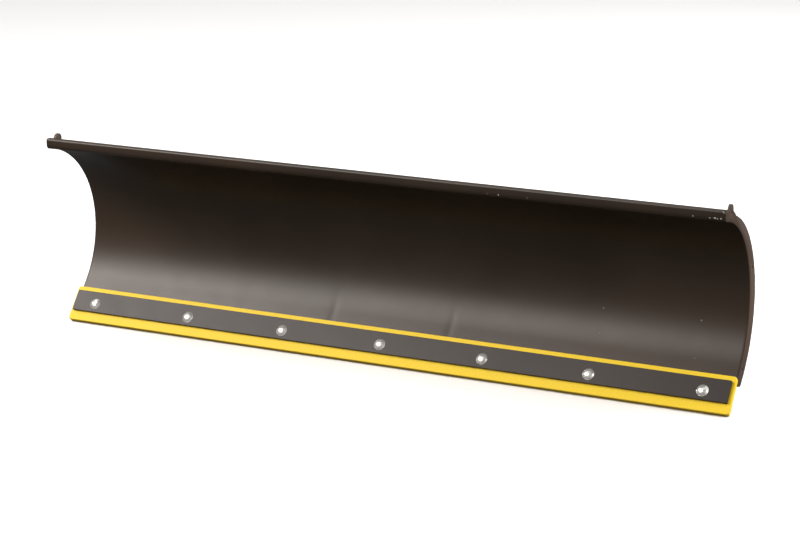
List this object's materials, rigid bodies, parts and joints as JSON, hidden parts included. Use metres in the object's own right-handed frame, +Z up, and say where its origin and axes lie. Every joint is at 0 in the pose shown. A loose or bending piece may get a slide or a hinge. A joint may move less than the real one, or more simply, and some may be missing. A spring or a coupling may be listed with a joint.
{
  "type": "atv plow blade",
  "caption": "Straight rolled-steel snow plow blade for an ATV, with a bolted plastic wear bar, ribs, pivot bores and turning skid shoes.",
  "frame": {"origin": "on the ground at mid-length, halfway between the foremost and the rearmost point", "axes": "+X along the blade to the operator's left as seen from the front (the viewer's right), +Y from the working face to the back, +Z up"},
  "size_m": [1.527, 0.2892, 0.4317],
  "materials": {
    "black_coat": "satin black powder coat",
    "strip_coat": "satin black powder coat",
    "yellow_poly": "sawn through-dyed plastic",
    "zinc": "bright zinc plate",
    "skid_steel": "bare turned and pressed steel"
  },
  "bodies": {
    "blade": {"moldboard": "black_coat", "backing_bar": "black_coat", "wear_bar": "yellow_poly", "retainer_strip": "strip_coat", "wear_bar_bolts": "zinc", "wear_bar_washers": "zinc", "wear_bar_nuts": "zinc", "spring_anchor": "black_coat", "end_rib_right": "black_coat", "end_rib_left": "black_coat", "mid_rib_right": "black_coat", "mid_rib_left": "black_coat", "skid_rib_right": "black_coat", "skid_rib_left": "black_coat", "pivot_rib_right": "black_coat", "pivot_rib_left": "black_coat", "pivot_boss_right": "black_coat", "pivot_boss_left": "black_coat", "skid_bracket_right": "black_coat", "skid_bracket_left": "black_coat"},
    "skid_shoe_right": {"skid_stem_right": "skid_steel", "skid_dish_right": "skid_steel", "skid_spacers_lower_right": "zinc", "skid_spacers_upper_right": "zinc", "linch_pin_right": "zinc"},
    "pin_ring_right": {"linch_ring_right": "zinc"},
    "skid_shoe_left": {"skid_stem_left": "skid_steel", "skid_dish_left": "skid_steel", "skid_spacers_lower_left": "zinc", "skid_spacers_upper_left": "zinc", "linch_pin_left": "zinc"},
    "pin_ring_left": {"linch_ring_left": "zinc"}
  },
  "joints": [
    {"name": "skid_swivel_right", "type": "hinge", "parent": "blade", "child": "skid_shoe_right", "pos_m": [0.633, 0.09955, 0], "axis": [0, 0, 1], "continuous": true},
    {"name": "ring_flip_right", "type": "hinge", "parent": "skid_shoe_right", "child": "pin_ring_right", "pos_m": [0.633, 0.12655, 0.114], "axis": [-1, 0, 0], "range_deg": [0, 180]},
    {"name": "skid_swivel_left", "type": "hinge", "parent": "blade", "child": "skid_shoe_left", "pos_m": [-0.633, 0.09955, 0], "axis": [0, 0, 1], "continuous": true},
    {"name": "ring_flip_left", "type": "hinge", "parent": "skid_shoe_left", "child": "pin_ring_left", "pos_m": [-0.633, 0.12655, 0.114], "axis": [-1, 0, 0], "range_deg": [0, 180]}
  ]
}
